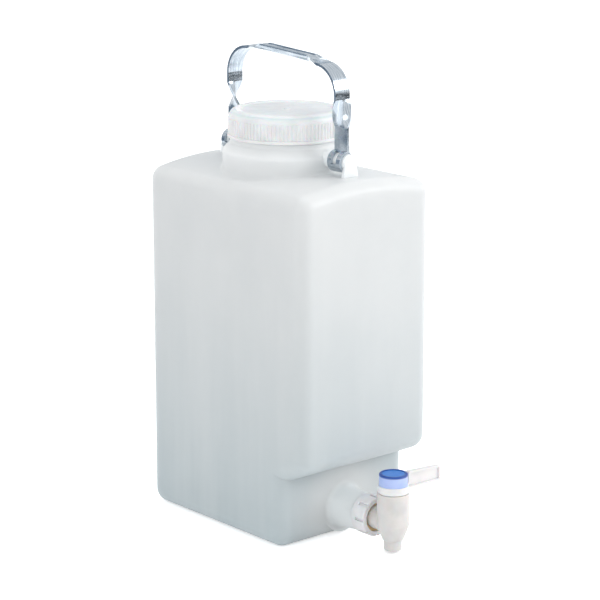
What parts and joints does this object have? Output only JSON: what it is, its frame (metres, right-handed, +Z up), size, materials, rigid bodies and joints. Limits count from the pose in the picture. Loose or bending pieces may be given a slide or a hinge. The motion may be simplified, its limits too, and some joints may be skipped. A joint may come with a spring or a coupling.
{
  "type": "carboy with spigot",
  "caption": "Rectangular translucent plastic carboy with a ribbed screw cap, a sprung steel bail handle and a quarter-turn spigot in a recess at its base.",
  "frame": {"origin": "on the base plane, at the centre of the footprint of the tank's upper body", "axes": "+Z up, the spigot points to -Y, the handle swings about Y"},
  "size_m": [0.156, 0.277, 0.4492],
  "materials": {
    "tank_plastic": "translucent white, satin, blow moulded",
    "cap_plastic": "white, satin, moulded",
    "liner_foam": "pale foam sheet",
    "handle_steel": "bright rolled stainless strap",
    "spigot_plastic": "warm white, satin, moulded",
    "plug_plastic": "white, satin, moulded",
    "blue_plastic": "blue, moulded",
    "amber_washer": "amber, translucent",
    "gasket_rubber": "black, soft"
  },
  "bodies": {
    "tank": {"tank": "tank_plastic", "spigot_body": "spigot_plastic", "collar_nut": "cap_plastic", "slip_washer": "amber_washer", "boss_gasket": "gasket_rubber"},
    "liner": {"cap_liner": "liner_foam"},
    "cap": {"screw_cap": "cap_plastic"},
    "handle": {"handle": "handle_steel"},
    "valve": {"valve_plug": "plug_plastic", "lever_cap": "blue_plastic", "plug_seal_lower": "gasket_rubber", "plug_seal_upper": "gasket_rubber"}
  },
  "joints": [
    {"name": "cap_lift", "type": "slide", "parent": "tank", "child": "liner", "axis": [0, 0, 1], "range_m": [0, 0.009]},
    {"name": "cap_turn", "type": "hinge", "parent": "liner", "child": "cap", "pos_m": [0, 0, 0.38], "axis": [0, 0, 1], "range_deg": [0, 540]},
    {"name": "handle_swing", "type": "hinge", "parent": "tank", "child": "handle", "pos_m": [0, 0, 0.353], "axis": [0, 1, 0], "range_deg": [-95, 95]},
    {"name": "valve_turn", "type": "hinge", "parent": "tank", "child": "valve", "pos_m": [0, -0.1485, 0.05], "axis": [0, 0, 1], "range_deg": [-82, 8]}
  ],
  "couplings": [
    {"joint": "cap_lift", "follows": "cap_turn", "m_per_rad": 0.00095493}
  ]
}
